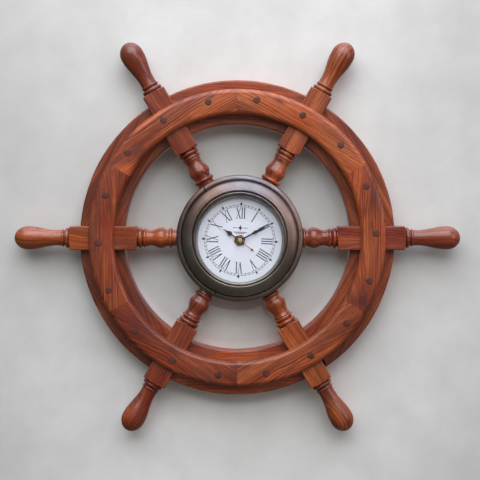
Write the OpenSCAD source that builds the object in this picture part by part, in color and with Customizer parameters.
// Wall clock in the shape of a ship's wheel.
// Six turned spokes join a wooden hub to a rim made of two rings of felloes; a round
// metal-cased quartz clock sits in the hub.
//
// Frame: the origin is the wheel's centre on the wall plane, +Z is up, and the dial
// looks towards -Y.  Every module below is drawn as the viewer in front sees it
// (x to the right, y up, z out from the wall) and from_wall() stands it up.

/* [Wheel] */
// Diameter over the tips of the spokes
wheel_d = 457; // [454:0.5:466]
// Outer diameter of the back ring
back_ring_od = 322; // [318:1:324]
// Inner diameter of the back ring
back_ring_id = 232; // [226:1:234]
// Thickness of the back ring
back_ring_t = 20; // [18:0.5:21]
// Outer diameter of the face ring
face_ring_od = 302; // [300:1:306]
// Inner diameter of the face ring
face_ring_id = 251; // [248:1:253]
// Thickness of the face ring
face_ring_t = 14; // [13:0.5:16]
// Radius of the rounded front edges of the face ring
face_edge_r = 4.5; // [1:0.5:5]
// Glue line between neighbouring felloes
felloe_gap = 0.3; // [0.1:0.1:0.6]

/* [Spokes] */
// Side of the square part of a spoke
spoke_side = 24; // [23:0.5:25]
// Height of the spoke axes above the wall
spoke_w = 16; // [15.5:0.5:16.5]
// Largest diameter of a grip
grip_d = 24; // [20:0.5:25]
// Diameter of the tenon in the hub
tenon_d = 12; // [8:0.5:13]

/* [Hub] */
// Diameter of the hub
hub_d = 124; // [123:0.5:124.5]
// Depth of the hub, from the wall to its front face
hub_t = 29; // [28.8:0.1:29.2]
// Sideways offset of the clock in the hub
clock_dx = 2.5; // [0:0.5:3]
// Offset of the dial and the movement in the clock case, upwards
dial_dy = -2; // [-2:0.5:0]

/* [Plugs and screws] */
// Radius of the circle that the wooden plugs lie on
plug_circle_r = 140.5; // [138:0.5:143]
// Diameter of a plug
plug_d = 7; // [6.4:0.1:7.6]
// Angle from a spoke to the plugs on either side of it
plug_spread = 20; // [18:0.5:21]
// Angle by which every plug sits past its even place
plug_turn = 2; // [0:0.5:2.5]

/* [Clock case] */
// Diameter of the flange on the hub
flange_d = 128.6; // [127:0.2:129]
// Outer diameter of the bezel
bezel_d = 116.4; // [115:0.2:117]
// Height of the bezel's crest above the flange
bezel_h = 12; // [11.4:0.1:13]
// Diameter of the visible dial
dial_view_d = 85.2; // [84:0.2:87]

/* [Hands] */
// Length of the minute hand from the axis
minute_len = 36.5; // [34:0.5:38]
// Length of the hour hand from the axis
hour_len = 20.5; // [20:0.5:24]
// Length of the seconds hand from the axis
seconds_len = 18.5; // [15:0.5:24]
// Angle of the hour hand past twelve o'clock
hour_angle = 305; // [0:1:359]
// Angle of the minute hand past twelve o'clock
minute_angle = 62; // [0:1:359]
// Angle of the seconds hand past twelve o'clock
seconds_angle = 127.5; // [0:0.5:359]

/* [Hidden] */
$fn = 96;

spoke_n = 6;
pitch = 360 / spoke_n;

// heights above the wall
rim_face_w = back_ring_t + face_ring_t;
spoke_back_w = spoke_w - spoke_side / 2;
spoke_front_w = spoke_w + spoke_side / 2;
cover_t = 3;
dial_seat_w = hub_t + 1.4;
dial_t = 0.8;
dial_front_w = dial_seat_w + dial_t;
flange_front_w = hub_t + 2.4;
bezel_crest_w = flange_front_w + bezel_h;
gasket_t = 0.6;
glass_t = 1.8;
lip_w = bezel_crest_w - 3;
glass_w = lip_w - gasket_t - glass_t;

// radii around the clock axis
case_r = 44.2;
case_wall = 0.8;
cover_r = 53;
cover_screw_r = 48.8;
cover_screw_angles = [30, 150, 270];
pocket_r = 47.2;
dial_r = pocket_r + 0.1 + dial_dy;
glass_r = 46.9;
lip_r = 44.4;
flange_screw_r = 61;
flange_screw_angles = [124, 244];
seam_angle = 7.5;

// movement: depths are counted back from its front face
washer_t = 1;
mov_front_w = dial_seat_w - washer_t;
mov_side = 56;
mov_depth = 15.5;
mov_wall = 1.2;
mov_split = 8;
mov_corner_r = 3;
bushing_r = 4;
bushing_top_w = dial_front_w + 1.8;
nut_af = 10.2;
nut_t = 1.4;
fit = 0.05;
hour_tube_r = 2.55;
cannon_tube_r = 1.55;
seconds_shaft_r = 0.75;
pivot_r = 0.4;
arbor_r = 0.6;
knob_shaft_r = 1;
hour_hand_w = bushing_top_w + 0.4;
minute_hand_w = hour_hand_w + 1.4;
seconds_hand_w = minute_hand_w + 1.3;
hand_t = 0.35;

// wheel train
train_m = 0.3;
third_pinion_t = 8;
third_wheel_t = 64;
seconds_wheel_t = 60;
seconds_pinion_t = 8;
step_pinion_t = 12;
step_wheel_t = 60;
rotor_pinion_t = 10;
centre_wheel_t = 60;
arbor_dist = train_m * (seconds_pinion_t + third_wheel_t) / 2;
centre_m = 2 * arbor_dist / (third_pinion_t + centre_wheel_t);
step_m = 0.2;
rotor_dist = step_m * (step_wheel_t + rotor_pinion_t) / 2;
// motion work
motion_m = 0.5;
cannon_t = 12;
setting_wheel_t = 36;
setting_pinion_t = 10;
hour_wheel_t = 40;
setting_dist = motion_m * (cannon_t + setting_wheel_t) / 2;
hour_m = 2 * setting_dist / (setting_pinion_t + hour_wheel_t);

third_at = [arbor_dist, 0];
step_at = [-arbor_dist, 0];
setting_at = [0, setting_dist];
rotor_dir = 135;
rotor_at = step_at + polar(rotor_dist, rotor_dir);
coil_at = [-13.5, 21.7];
coil_len = 14;
coil_r = 3.2;
stator_d = 7.2;
battery_at = [0, -19.4];
battery_d = 8.4;
battery_r = 7.1;
battery_len = 49.2;
bay_wall_y = -11.2;

// hanger plate on the back of the top felloe
hanger_y = (back_ring_od + back_ring_id) / 4;
hanger_size = [16, 40];
hanger_t = 1.6;
hanger_entry_r = 4.5;
hanger_slot_r = 2.25;
hanger_entry_y = hanger_y - 5;
hanger_slot_y = hanger_y + 5;
hanger_screw_dy = 15.5;

function polar(r, a) = [r * cos(a), r * sin(a)];

// points of an arc about c, from angle a0 to a1
function arc(c, r, a0, a1, n = 6) =
    [for (i = [0:n]) c + polar(r, a0 + (a1 - a0) * i / n)];

// points of an elliptic arc about c with half axes rx and ry
function oval(c, rx, ry, a0, a1, n = 8) =
    [for (i = [0:n]) let (a = a0 + (a1 - a0) * i / n) c + [rx * cos(a), ry * sin(a)]];

// smooth S-shaped run of points between two radii of a turned profile
function ease(p0, p1, n = 6) =
    [for (i = [0:n]) let (t = i / n, s = (1 - cos(180 * t)) / 2)
        [p0[0] + (p1[0] - p0[0]) * s, p0[1] + (p1[1] - p0[1]) * t]];

// ---------------------------------------------------------------- general shapes

// stands a front view drawing up against the wall, w above it
module from_wall(w = 0) {
    rotate([90, 0, 0]) translate([0, 0, w]) children();
}

// the same, on the clock axis
module on_clock(w = 0) {
    translate([clock_dx, 0, 0]) from_wall(w) children();
}

// the same, on the axis of the hands
module on_hands(w = 0) {
    on_clock(w) translate([0, dial_dy, 0]) children();
}

// the same, with the height counted back from the movement's front face
module in_movement(depth = 0, at = [0, 0]) {
    on_hands(mov_front_w - depth) translate([at[0], at[1], 0]) children();
}

// a piece of the movement that runs from depth d0 back to depth d1
module layer(d0, d1, at = [0, 0]) {
    in_movement(d1, at) linear_extrude(d1 - d0) children();
}

module rod(r, d0, d1, at = [0, 0]) {
    in_movement(d1, at) cylinder(r = r, h = d1 - d0);
}

module rounded_square(size, r) {
    square([size[0] - 2 * r, size[1]], center = true);
    square([size[0], size[1] - 2 * r], center = true);
    for (sx = [-1, 1], sy = [-1, 1])
        translate([sx * (size[0] / 2 - r), sy * (size[1] / 2 - r)]) circle(r);
}

// wedge between two directions, with half the glue line taken off each side
module wedge(a0, a1, reach, h) {
    mid = (a0 + a1) / 2;
    half = (a1 - a0) / 2;
    tip = polar(felloe_gap / 2 / sin(half), mid);
    linear_extrude(h)
        polygon([tip, tip + polar(reach, a0), tip + polar(reach * 1.2, mid), tip + polar(reach, a1)]);
}

// ring of rectangular section with rounded edges at its front and fine ones at its back
module rim_ring(r_in, r_out, h, edge) {
    fine = 0.8;
    rotate_extrude()
        polygon(concat([[r_in + fine, 0], [r_out - fine, 0], [r_out, fine]],
                       arc([r_out - edge, h - edge], edge, 0, 90),
                       arc([r_in + edge, h - edge], edge, 90, 180),
                       [[r_in, fine]]));
}

// toothed wheel outline: gap = true centres a gap on the x axis instead of a tooth
module gear_outline(teeth, m, gap = false) {
    r = teeth * m / 2;
    root = r - 1.25 * m;
    tip = r + 0.75 * m;
    slim = 0.36;
    step = 360 / teeth;
    turn = gap ? step / 2 : 0;
    flank = teeth > 20 ? [1.45, 0.55] : [1.15, 0.5];
    polygon([for (i = [0:teeth - 1]) let (a = turn + i * step, q = step * slim / 2)
        each [polar(root, a - q * flank[0]), polar(r, a - q), polar(tip, a - q * flank[1]),
              polar(tip, a + q * flank[1]), polar(r, a + q), polar(root, a + q * flank[0])]]);
}

// round hole grid of a spoked train wheel
module wheel_windows(r_mid, r_hole, n) {
    for (i = [0:n - 1]) rotate(i * 360 / n + 180 / n) translate([r_mid, 0]) circle(r_hole);
}

// ---------------------------------------------------------------- rim

function plug_angle(i, k) = (i - 1) * pitch + k * plug_spread + plug_turn;
function plug_angles(i) = [for (k = [-1:1]) plug_angle(i, k)];

// square mortise for spoke i, open at the front or at the back
module spoke_notch(i, w0, w1) {
    rotate((i - 1) * pitch)
        translate([back_ring_id / 4, -spoke_side / 2, w0])
            cube([back_ring_od / 2, spoke_side, w1 - w0]);
}

module back_felloe(i) {
    a0 = (i - 1) * pitch;
    color("saddlebrown") from_wall() difference() {
        intersection() {
            rim_ring(back_ring_id / 2, back_ring_od / 2, back_ring_t, 1.5);
            wedge(a0, a0 + pitch, back_ring_od / 2 * 1.3, back_ring_t);
        }
        spoke_notch(i, spoke_back_w, back_ring_t + 1);
        spoke_notch(i + 1, spoke_back_w, back_ring_t + 1);
        for (a = [plug_angle(i, 1), plug_angle(i + 1, -1)])
            rotate(a) translate([plug_circle_r, 0, 7]) cylinder(r = 1.7, h = back_ring_t);
        if (i == 2) hanger_pocket();
    }
}

module face_felloe(i) {
    mid = (i - 1) * pitch;
    color("sienna") from_wall(back_ring_t) difference() {
        intersection() {
            rim_ring(face_ring_id / 2, face_ring_od / 2, face_ring_t, face_edge_r);
            wedge(mid - pitch / 2, mid + pitch / 2, face_ring_od / 2 * 1.3, face_ring_t);
        }
        spoke_notch(i, -1, spoke_front_w - back_ring_t);
        for (a = plug_angles(i)) rotate(a) translate([plug_circle_r, 0, 0]) {
            translate([0, 0, -1]) cylinder(r = 1.8, h = face_ring_t);
            translate([0, 0, face_ring_t - 4.2]) cylinder(d = plug_d, h = 5);
        }
    }
}

module wood_plugs() {
    color("#3a1a12") for (i = [1:spoke_n], a = plug_angles(i))
        from_wall(rim_face_w - 2.4) rotate(a) translate([plug_circle_r, 0, 0])
            cylinder(d = plug_d, h = 2.4);
}

// screws under the plugs: short ones into the spokes, long ones into the back ring
module felloe_screws() {
    head_w = rim_face_w - 4.2;
    color("silver") for (i = [1:spoke_n], k = [-1:1]) {
        tip_w = k == 0 ? spoke_w - 3 : 8;
        from_wall() rotate(plug_angle(i, k)) translate([plug_circle_r, 0, 0]) {
            translate([0, 0, head_w]) cylinder(r = 3.2, h = 1.6);
            translate([0, 0, tip_w]) cylinder(r = 1.7, h = head_w - tip_w);
        }
    }
}

// ---------------------------------------------------------------- spokes

// turned profile from the tenon to the square, as [radius, distance from wheel centre]
inner_turning = concat(
    [[0, 50.5], [tenon_d / 2, 50.5], [tenon_d / 2, hub_d / 2 + 0.1]],
    [[8.6, hub_d / 2 + 0.1], [8.6, 66.2]],
    arc([8.4, 68.2], 1.9, -90, 90, 6),
    ease([8.5, 70.4], [10.8, 77.5]), ease([10.8, 77.5], [7.9, 88.8]),
    ease([7.9, 88.8], [8.8, 92.6], 3),
    arc([8.2, 94.6], 1.6, -80, 80, 5),
    [[8.4, 96.8]],
    arc([8.4, 99.4], 2.2, -75, 75, 6),
    [[8.9, 102.2], [8.9, 106], [0, 106]]);

// turned profile of the grip, from the square to the tip
outer_turning = concat(
    [[0, 166], [8.9, 166], [8.9, 171.4]],
    arc([8.3, 174], 2.1, -80, 80, 6),
    [[7.6, 176.4], [7.6, 177]],
    arc([7.8, 178.6], 1.2, -80, 80, 4),
    ease([8, 180.2], [7.85, 184.6], 2), ease([7.85, 184.6], [grip_d / 2, 214.2], 10),
    oval([0, 214.2], grip_d / 2, wheel_d / 2 - 214.2, 8, 82, 8),
    [[0, wheel_d / 2]]);

// the square with the corners that the lathe leaves at its ends
module spoke_square() {
    start = 102.4;
    end = 171.2;
    shoulder = 1.8;
    end_r = spoke_side * 0.56;
    corner_r = spoke_side * 0.72;
    intersection() {
        translate([0, 0, (start + end) / 2]) cube([spoke_side, spoke_side, end - start], center = true);
        rotate_extrude()
            polygon([[0, start], [end_r, start], [corner_r, start + shoulder],
                     [corner_r, end - shoulder], [end_r, end], [0, end]]);
        rotate(45) translate([0, 0, (start + end) / 2])
            cube([spoke_side * 1.375, spoke_side * 1.375, end], center = true);
    }
}

module spoke(i) {
    color("chocolate") from_wall(spoke_w) rotate((i - 1) * pitch) difference() {
        rotate([0, 90, 0]) {
            rotate_extrude() polygon(inner_turning);
            spoke_square();
            rotate_extrude() polygon(outer_turning);
        }
        rotate(plug_turn) translate([plug_circle_r, 0, -4]) cylinder(r = 1.7, h = spoke_side);
    }
}

// ---------------------------------------------------------------- hub

module hub() {
    edge = 2;
    color("peru") from_wall() difference() {
        rotate_extrude()
            polygon(concat([[0, 0], [hub_d / 2 - edge, 0]],
                           arc([hub_d / 2 - edge, edge], edge, -90, 0),
                           [[hub_d / 2, hub_t], [0, hub_t]]));
        translate([clock_dx, 0, -1]) cylinder(r = case_r + 0.3, h = hub_t + 2);
        translate([clock_dx, 0, -1]) cylinder(r = cover_r + 0.2, h = cover_t + 1);
        for (i = [1:spoke_n]) rotate(i * pitch) translate([50, 0, spoke_w])
            rotate([0, 90, 0]) cylinder(d = tenon_d, h = hub_d);
        for (a = flange_screw_angles) translate([clock_dx, 0, hub_t - 6]) rotate(a)
            translate([flange_screw_r, 0, 0]) cylinder(r = 1.1, h = 7);
        for (a = cover_screw_angles) translate([clock_dx, 0, 0]) rotate(a)
            translate([cover_screw_r, 0, cover_t - 1]) cylinder(r = 1.3, h = 7);
    }
}

module rear_cover() {
    color("tan") on_clock() difference() {
        cylinder(r = cover_r, h = cover_t);
        for (a = cover_screw_angles) rotate(a) translate([cover_screw_r, 0, -1]) {
            cylinder(r = 1.6, h = cover_t + 2);
            cylinder(r1 = 4.2, r2 = 1.6, h = 2.6);
        }
    }
}

module countersunk_screw(head_r, shank_r, head_h, length) {
    cylinder(r1 = head_r, r2 = shank_r, h = head_h);
    translate([0, 0, head_h]) cylinder(r = shank_r, h = length - head_h);
}

module rear_cover_screws() {
    color("goldenrod") for (a = cover_screw_angles) on_clock() rotate(a)
        translate([cover_screw_r, 0, 0.1]) countersunk_screw(3, 1.3, 1.5, 8);
}

// ---------------------------------------------------------------- hanger

module keyhole(h) {
    translate([0, hanger_entry_y, 0]) cylinder(r = hanger_entry_r, h = h);
    translate([-hanger_slot_r, hanger_entry_y, 0])
        cube([2 * hanger_slot_r, hanger_slot_y - hanger_entry_y, h]);
    translate([0, hanger_slot_y, 0]) cylinder(r = hanger_slot_r, h = h);
}

// let-in for the plate and the deeper pocket for the wall screw's head
module hanger_pocket() {
    translate([0, hanger_y, -1]) linear_extrude(hanger_t + 1) rounded_square(hanger_size, 3);
    translate([0, hanger_y, 0]) linear_extrude(9) rounded_square([11, 21], 5);
    for (s = [-1, 1]) translate([0, hanger_y + s * hanger_screw_dy, 0])
        cylinder(r = 1.3, h = 11);
}

module hanger_plate() {
    color("goldenrod") from_wall() difference() {
        translate([0, hanger_y, 0]) linear_extrude(hanger_t) rounded_square(hanger_size, 3);
        translate([0, 0, -1]) keyhole(hanger_t + 2);
        for (s = [-1, 1]) translate([0, hanger_y + s * hanger_screw_dy, 0]) {
            translate([0, 0, -1]) cylinder(r = 1.4, h = hanger_t + 2);
            cylinder(r1 = 3.15, r2 = 1.4, h = hanger_t - 0.2);
        }
    }
}

module hanger_screws() {
    color("silver") for (s = [-1, 1]) from_wall() translate([0, hanger_y + s * hanger_screw_dy, 0.1])
        countersunk_screw(2.9, 1.3, 1.4, 10);
}

// ---------------------------------------------------------------- clock case

module case_flange() {
    rim = flange_d / 2;
    land = bezel_d / 2;
    color("rosybrown") on_clock() difference() {
        rotate_extrude()
            polygon(concat([[case_r - case_wall, 12], [case_r, 12], [case_r, hub_t]],
                           arc([rim - 1, hub_t + 1], 1, -90, 0, 3),
                           oval([land + 1.9, flange_front_w - 1.2], rim - land - 1.9, 2.4, 0, 90, 9),
                           arc([land + 1.9, flange_front_w + 0.4], 0.8, 90, 180, 4),
                           [[land + 0.7, flange_front_w - 0.6], [land + 0.3, flange_front_w],
                            [pocket_r + 0.2, flange_front_w], [pocket_r + 0.2, dial_seat_w],
                            [case_r - 2.2, dial_seat_w], [case_r - 2.2, dial_seat_w - 1],
                            [case_r - case_wall, dial_seat_w - 1]]));
        // butt seam of the rolled rim
        rotate(seam_angle) translate([land + 1.2, -0.3, hub_t + 1]) cube([10, 0.6, 5]);
        for (a = flange_screw_angles) rotate(a) translate([flange_screw_r, 0, 0]) {
            cylinder(r = 1.2, h = 60);
            translate([0, 0, flange_front_w]) cylinder(r = 2.4, h = 5);
        }
    }
}

module flange_screws() {
    head_r = 2.3;
    color("darkseagreen") for (a = flange_screw_angles) on_clock() rotate(a)
        translate([flange_screw_r, 0, 0]) {
            translate([0, 0, hub_t - 5.6]) cylinder(r = 1.1, h = flange_front_w - hub_t + 5.6);
            translate([0, 0, flange_front_w]) difference() {
                rotate_extrude()
                    polygon(concat([[0, 0], [head_r, 0], [head_r, 0.4]],
                                   oval([0, 0.4], head_r, 1.3, 0, 90, 5)));
                translate([-3, -0.3, 1.1]) cube([6, 0.6, 1]);
            }
        }
}

module bezel() {
    out = bezel_d / 2;
    shoulder_r = 2.88;
    face_r = 18;
    face_tilt = [6.7, 35.7];     // slope of the broad face at its inner and outer edge
    crease = [48, lip_w + 1];
    bead = [1.6, 2.2];
    shoulder = [out - shoulder_r, bezel_crest_w - 5.6];
    face = shoulder - (face_r - shoulder_r) * [sin(face_tilt[1]), cos(face_tilt[1])];
    color("rosybrown") on_clock()
        rotate_extrude()
            polygon(concat([[out, flange_front_w]],
                           arc(shoulder, shoulder_r, 0, 90 - face_tilt[1], 6),
                           arc(face, face_r, 92 - face_tilt[1], 90 - face_tilt[0], 10),
                           [[crease[0] + 0.2, bezel_crest_w - 0.3], [crease[0], bezel_crest_w - 0.8], crease],
                           oval([lip_r + bead[0], lip_w], bead[0], bead[1], 27, 180, 7),
                           [[pocket_r, lip_w], [pocket_r, flange_front_w]]));
}

module gasket() {
    color("black") on_clock(glass_w + glass_t) difference() {
        cylinder(r = glass_r, h = gasket_t);
        translate([0, 0, -1]) cylinder(r = lip_r + 0.5, h = gasket_t + 2);
    }
}

module glass() {
    color("lightcyan", 0.35) on_clock(glass_w) cylinder(r = glass_r, h = glass_t);
}

// ring between the dial and the glass, its sloping opening as far off centre as the dial
module dial_ring() {
    straight = 0.6;
    color("dimgray") on_clock(dial_front_w) difference() {
        cylinder(r = glass_r, h = glass_w - dial_front_w);
        translate([0, dial_dy, 0]) {
            translate([0, 0, -1]) cylinder(d = dial_view_d, h = 1 + straight);
            translate([0, 0, straight])
                cylinder(r1 = dial_view_d / 2, r2 = lip_r - 0.2, h = glass_w - dial_front_w - straight);
        }
    }
}

module dial() {
    color("white") on_hands(dial_seat_w) difference() {
        cylinder(r = dial_r, h = dial_t);
        translate([0, 0, -1]) cylinder(r = bushing_r + 0.1, h = dial_t + 2);
    }
}

// ---------------------------------------------------------------- movement, fixed parts

module rubber_washer() {
    color("black") on_hands(mov_front_w) difference() {
        cylinder(r = 9, h = washer_t);
        translate([0, 0, -1]) cylinder(r = bushing_r + 0.1, h = washer_t + 2);
    }
}

module fixing_nut() {
    color("darkgoldenrod") on_hands(dial_front_w) difference() {
        rotate(12) cylinder(d = nut_af / cos(30), h = nut_t, $fn = 6);
        translate([0, 0, -1]) cylinder(r = bushing_r, h = nut_t + 2);
    }
}

module threaded_bushing() {
    color("darkgoldenrod") difference() {
        union() {
            on_hands(mov_front_w - mov_wall)
                cylinder(r = bushing_r, h = bushing_top_w - mov_front_w + mov_wall);
            rod(5.5, mov_wall, mov_wall + 0.5);
        }
        on_hands(0) cylinder(r = hour_tube_r + fit, h = 60);
    }
}

module case_outline(inset = 0) {
    side = mov_side - 2 * inset;
    rounded_square([side, side], mov_corner_r - inset / 2);
}

// wall between the wheel train and the battery bay
module bay_wall() {
    translate([-mov_side / 2 + mov_wall / 2, bay_wall_y]) square([mov_side - mov_wall, 0.8]);
}

module movement_front() {
    color("dimgray") difference() {
        union() {
            difference() {
                layer(0, mov_split) case_outline();
                layer(mov_wall, mov_split + 1) case_outline(mov_wall);
            }
            layer(mov_wall / 2, mov_split) bay_wall();
        }
        rod(bushing_r, -1, mov_wall + 1);
        rod(pivot_r + fit, mov_wall - 0.7, mov_wall + 1, setting_at);
    }
}

module movement_back() {
    post_d = 11.8;
    color("darkgray") difference() {
        union() {
            difference() {
                layer(mov_split, mov_depth) case_outline();
                layer(mov_split - 1, mov_depth - mov_wall) case_outline(mov_wall);
                layer(mov_split - 1, mov_depth + 1) translate(battery_at)
                    square([mov_side - 2 * mov_wall, 2 * battery_r + 0.6], center = true);
            }
            layer(mov_split, mov_depth - mov_wall / 2) bay_wall();
            for (at = [[0, 0], third_at, step_at, rotor_at])
                rod(1.5, post_d, mov_depth - mov_wall / 2, at);
        }
        for (at = [[0, 0], third_at, step_at, rotor_at]) rod(pivot_r + fit, post_d - 1, post_d + 1.5, at);
        rod(knob_shaft_r + fit, mov_depth - 3, mov_depth + 1, setting_at);
    }
}

// plate that carries the front pivots of the train
module movement_plate() {
    color("gainsboro") layer(4.3, 5.3) difference() {
        translate([-mov_side / 2 + 1.4, bay_wall_y + 1]) square([mov_side - 2.8, 27.6]);
        circle(cannon_tube_r + fit);
        for (at = [third_at, step_at, rotor_at]) translate(at) circle(pivot_r + fit);
        translate(setting_at) circle(knob_shaft_r + fit);
    }
}

module battery() {
    nub = 1;
    color("darkorange") in_movement(battery_d, battery_at) rotate([0, 90, 0]) {
        translate([0, 0, -battery_len / 2 - nub / 2]) cylinder(r = battery_r, h = battery_len);
        translate([0, 0, battery_len / 2 - nub / 2]) cylinder(r = 2.75, h = nub);
    }
}

module battery_contacts() {
    color("silver") for (s = [-1, 1]) {
        in_movement(battery_d, battery_at) translate([s * (battery_len / 2 + 0.7), 0, 0])
            cube([0.4, 9, 8], center = true);
        in_movement(battery_d, battery_at) translate([s * (battery_len / 2 + 1.3), 3, 0])
            cube([0.8, 2, 3], center = true);
    }
}

module circuit_board() {
    board = [20, 10];
    at = [15, 19.6];
    color("seagreen") {
        layer(9, 9.8, at) square(board, center = true);
        layer(9.8, 11, at - [4, 0]) circle(3);
        layer(9.8, 11.2, at + [5.5, 1.5]) square([7, 2.4], center = true);
    }
}

module coil() {
    color("orangered") in_movement(stator_d + 0.4, coil_at) difference() {
        rotate([0, 90, 0]) {
            cylinder(r = coil_r - 0.5, h = coil_len, center = true);
            for (s = [-1, 1]) translate([0, 0, s * (coil_len / 2 - 0.4)])
                cylinder(r = coil_r, h = 0.8, center = true);
        }
        cube([coil_len + 2, 3.1, 0.9], center = true);
    }
}

// iron plate: two legs run from the ring round the rotor to the core inside the coil
module stator() {
    leg = 4;
    left_x = coil_at[0] - coil_len / 2 - leg - 0.3;
    right_x = coil_at[0] + coil_len / 2 + 0.3;
    top_y = coil_at[1] + 1.5;
    color("slategray") layer(stator_d, stator_d + 0.8) difference() {
        union() {
            translate(rotor_at) circle(4.8);
            translate([left_x, rotor_at[1] - 1]) square([leg, top_y - rotor_at[1] + 1]);
            translate([left_x, rotor_at[1] - 1]) square([rotor_at[0] - left_x, 3]);
            translate([right_x, rotor_at[1] + 0.5]) square([leg, top_y - rotor_at[1] - 0.5]);
            translate([rotor_at[0], rotor_at[1] + 0.5]) square([right_x - rotor_at[0] + 1, 3]);
            translate([left_x, coil_at[1] - 1.5]) square([right_x - left_x + 1, 3]);
        }
        translate(rotor_at) circle(3.1);
    }
}

// ---------------------------------------------------------------- movement, moving parts

// arbor with a pivot at each end
module arbor(d0, d1, at) {
    rod(pivot_r, 4.5, d0, at);
    rod(arbor_r, d0, d1, at);
    rod(pivot_r, d1, 13.2, at);
}

// toothed wheel standing at a place in the train, with its mesh direction
module gear(teeth, m, d0, d1, at = [0, 0], dir = 0, gap = false) {
    layer(d0, d1, at) rotate(dir) gear_outline(teeth, m, gap);
}

module rotor() {
    color("darkslategray") {
        arbor(5.6, 11.6, rotor_at);
        rod(2.6, 6.2, 9.2, rotor_at);
        gear(rotor_pinion_t, step_m, 10.2, 11, rotor_at, rotor_dir + 180, true);
    }
}

module step_wheel() {
    color("ivory") {
        arbor(5.6, 11.6, step_at);
        gear(step_pinion_t, train_m, 8.8, 9.7, step_at, 0, true);
        layer(10.4, 10.8, step_at) difference() {
            rotate(rotor_dir) gear_outline(step_wheel_t, step_m);
            wheel_windows(3.3, 1.3, 5);
        }
    }
}

module seconds_wheel() {
    color("ivory") {
        rod(pivot_r, 11.6, 13.2);
        rod(seconds_shaft_r, mov_front_w - seconds_hand_w - 0.9, 11.6);
        gear(seconds_pinion_t, train_m, 7.2, 8.2, [0, 0], 0, true);
        layer(9, 9.5) difference() {
            rotate(180) gear_outline(seconds_wheel_t, train_m);
            wheel_windows(5, 2, 5);
        }
    }
}

module third_wheel() {
    color("ivory") {
        arbor(5.5, 11.6, third_at);
        gear(third_pinion_t, centre_m, 5.6, 6.6, third_at, 180, true);
        layer(7.4, 7.9, third_at) difference() {
            rotate(180) gear_outline(third_wheel_t, train_m);
            wheel_windows(5.3, 2.1, 5);
        }
    }
}

// friction wheel on the tail of the cannon pinion
module centre_wheel() {
    color("ivory") difference() {
        union() {
            layer(5.9, 6.4) difference() {
                gear_outline(centre_wheel_t, centre_m);
                wheel_windows(5.6, 2, 5);
            }
            rod(2.6, 5.6, 6.7);
        }
        rod(cannon_tube_r + fit, 5, 7.5);
    }
}

module cannon_pinion() {
    top = mov_front_w - minute_hand_w - 0.6;
    color("khaki") difference() {
        union() {
            rod(cannon_tube_r, top, 6.9);
            gear(cannon_t, motion_m, 2.9, 3.9, [0, 0], 90);
        }
        rod(seconds_shaft_r + fit, top - 1, 8);
    }
}

module setting_wheel() {
    color("khaki") {
        rod(pivot_r, 0.7, 1.8, setting_at);
        gear(setting_pinion_t, hour_m, 1.8, 2.8, setting_at, 270);
        layer(3, 3.7, setting_at) difference() {
            rotate(270) gear_outline(setting_wheel_t, motion_m, true);
            wheel_windows(5.6, 1.9, 5);
        }
        rod(2, 2.8, 4.2, setting_at);
        rod(knob_shaft_r, 4.2, mov_depth + 1.2, setting_at);
    }
}

module set_knob() {
    ribs = 24;
    color("dimgray") layer(mov_depth + 0.4, mov_depth + 3.4, setting_at) difference() {
        circle(6);
        circle(knob_shaft_r);
        for (i = [0:ribs - 1]) rotate(i * 360 / ribs) translate([6.2, 0]) circle(0.45, $fn = 8);
    }
}

module hour_wheel() {
    top = mov_front_w - hour_hand_w - 0.6;
    color("khaki") difference() {
        union() {
            rod(hour_tube_r, top, 2.6);
            gear(hour_wheel_t, hour_m, 1.9, 2.5, [0, 0], 90, true);
        }
        rod(cannon_tube_r + fit, top - 1, 4);
    }
}

// ---------------------------------------------------------------- hands

// a hand lies along +y of its own drawing and is turned to its angle past twelve
module hand(w, angle, bore_r) {
    on_hands(w) rotate(-angle) difference() {
        for (i = [0:$children - 1]) linear_extrude(hand_t) children(i);
        translate([0, 0, -1]) cylinder(r = bore_r, h = hand_t + 2);
    }
}

module hour_hand() {
    spade_y = hour_len * 0.6;
    color("black") hand(hour_hand_w, hour_angle, hour_tube_r) {
        circle(3.6);
        translate([-0.65, 0]) square([1.3, spade_y]);
        translate([0, spade_y]) circle(2.3);
        polygon([[-2, spade_y + 1.1], [-0.85, spade_y + 3.4], [-0.45, spade_y + 5.4],
                 [-0.3, hour_len], [0.3, hour_len], [0.45, spade_y + 5.4],
                 [0.85, spade_y + 3.4], [2, spade_y + 1.1]]);
    }
}

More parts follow.
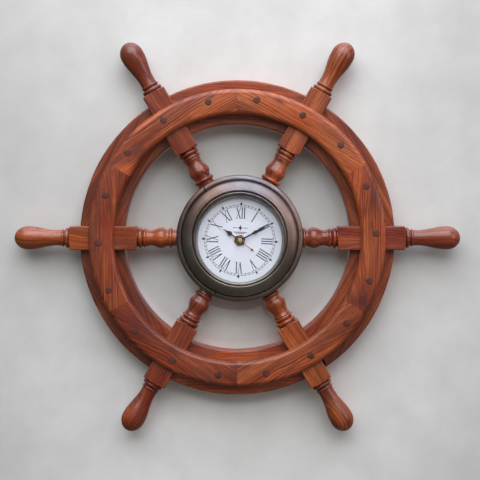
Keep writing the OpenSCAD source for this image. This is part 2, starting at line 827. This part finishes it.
module minute_hand() {
    swell_y = minute_len * 0.5;
    color("black") hand(minute_hand_w, minute_angle, cannon_tube_r) {
        circle(2.9);
        polygon([[-0.8, 0], [-0.75, swell_y - 4.5], [-1.6, swell_y - 1], [-1.75, swell_y],
                 [-1.1, swell_y + 3], [-0.8, swell_y + 8], [-0.35, swell_y + 11], [-0.3, minute_len],
                 [0.3, minute_len], [0.35, swell_y + 11], [0.8, swell_y + 8], [1.1, swell_y + 3],
                 [1.75, swell_y], [1.6, swell_y - 1], [0.75, swell_y - 4.5], [0.8, 0]]);
    }
}

module seconds_hand() {
    tail = 8;
    head_y = seconds_len - 4.2;
    color("firebrick") hand(seconds_hand_w, seconds_angle, seconds_shaft_r) {
        circle(2);
        polygon([[-0.45, -tail], [-0.35, 0], [-0.3, head_y], [-1.3, head_y], [-0.12, seconds_len],
                 [0.12, seconds_len], [1.3, head_y], [0.3, head_y], [0.35, 0], [0.45, -tail]]);
    }
}

// brass cap over the end of the seconds shaft
module seconds_cap() {
    base = seconds_hand_w + hand_t;
    color("gold") on_hands(base) difference() {
        rotate_extrude()
            polygon(concat([[0, 0], [2.4, 0], [2.4, 0.5]], arc([1.7, 0.5], 0.7, 0, 90, 4), [[0, 1.2]]));
        translate([0, 0, -1]) cylinder(r = seconds_shaft_r, h = 1 + 0.6);
    }
}

back_felloe(1);  // back_felloe_1
back_felloe(2);  // back_felloe_2
back_felloe(3);  // back_felloe_3
back_felloe(4);  // back_felloe_4
back_felloe(5);  // back_felloe_5
back_felloe(6);  // back_felloe_6
face_felloe(1);  // face_felloe_1
face_felloe(2);  // face_felloe_2
face_felloe(3);  // face_felloe_3
face_felloe(4);  // face_felloe_4
face_felloe(5);  // face_felloe_5
face_felloe(6);  // face_felloe_6
spoke(1);  // spoke_1
spoke(2);  // spoke_2
spoke(3);  // spoke_3
spoke(4);  // spoke_4
spoke(5);  // spoke_5
spoke(6);  // spoke_6
hub();
rear_cover();
rear_cover_screws();
felloe_screws();
wood_plugs();
hanger_plate();
hanger_screws();
case_flange();
flange_screws();
bezel();
gasket();
glass();
dial_ring();
dial();
rubber_washer();
fixing_nut();
threaded_bushing();
movement_front();
movement_back();
movement_plate();
battery();
battery_contacts();
circuit_board();
coil();
stator();
rotor();
step_wheel();
seconds_wheel();
third_wheel();
centre_wheel();
cannon_pinion();
setting_wheel();
set_knob();
hour_wheel();
hour_hand();
minute_hand();
seconds_hand();
seconds_cap();
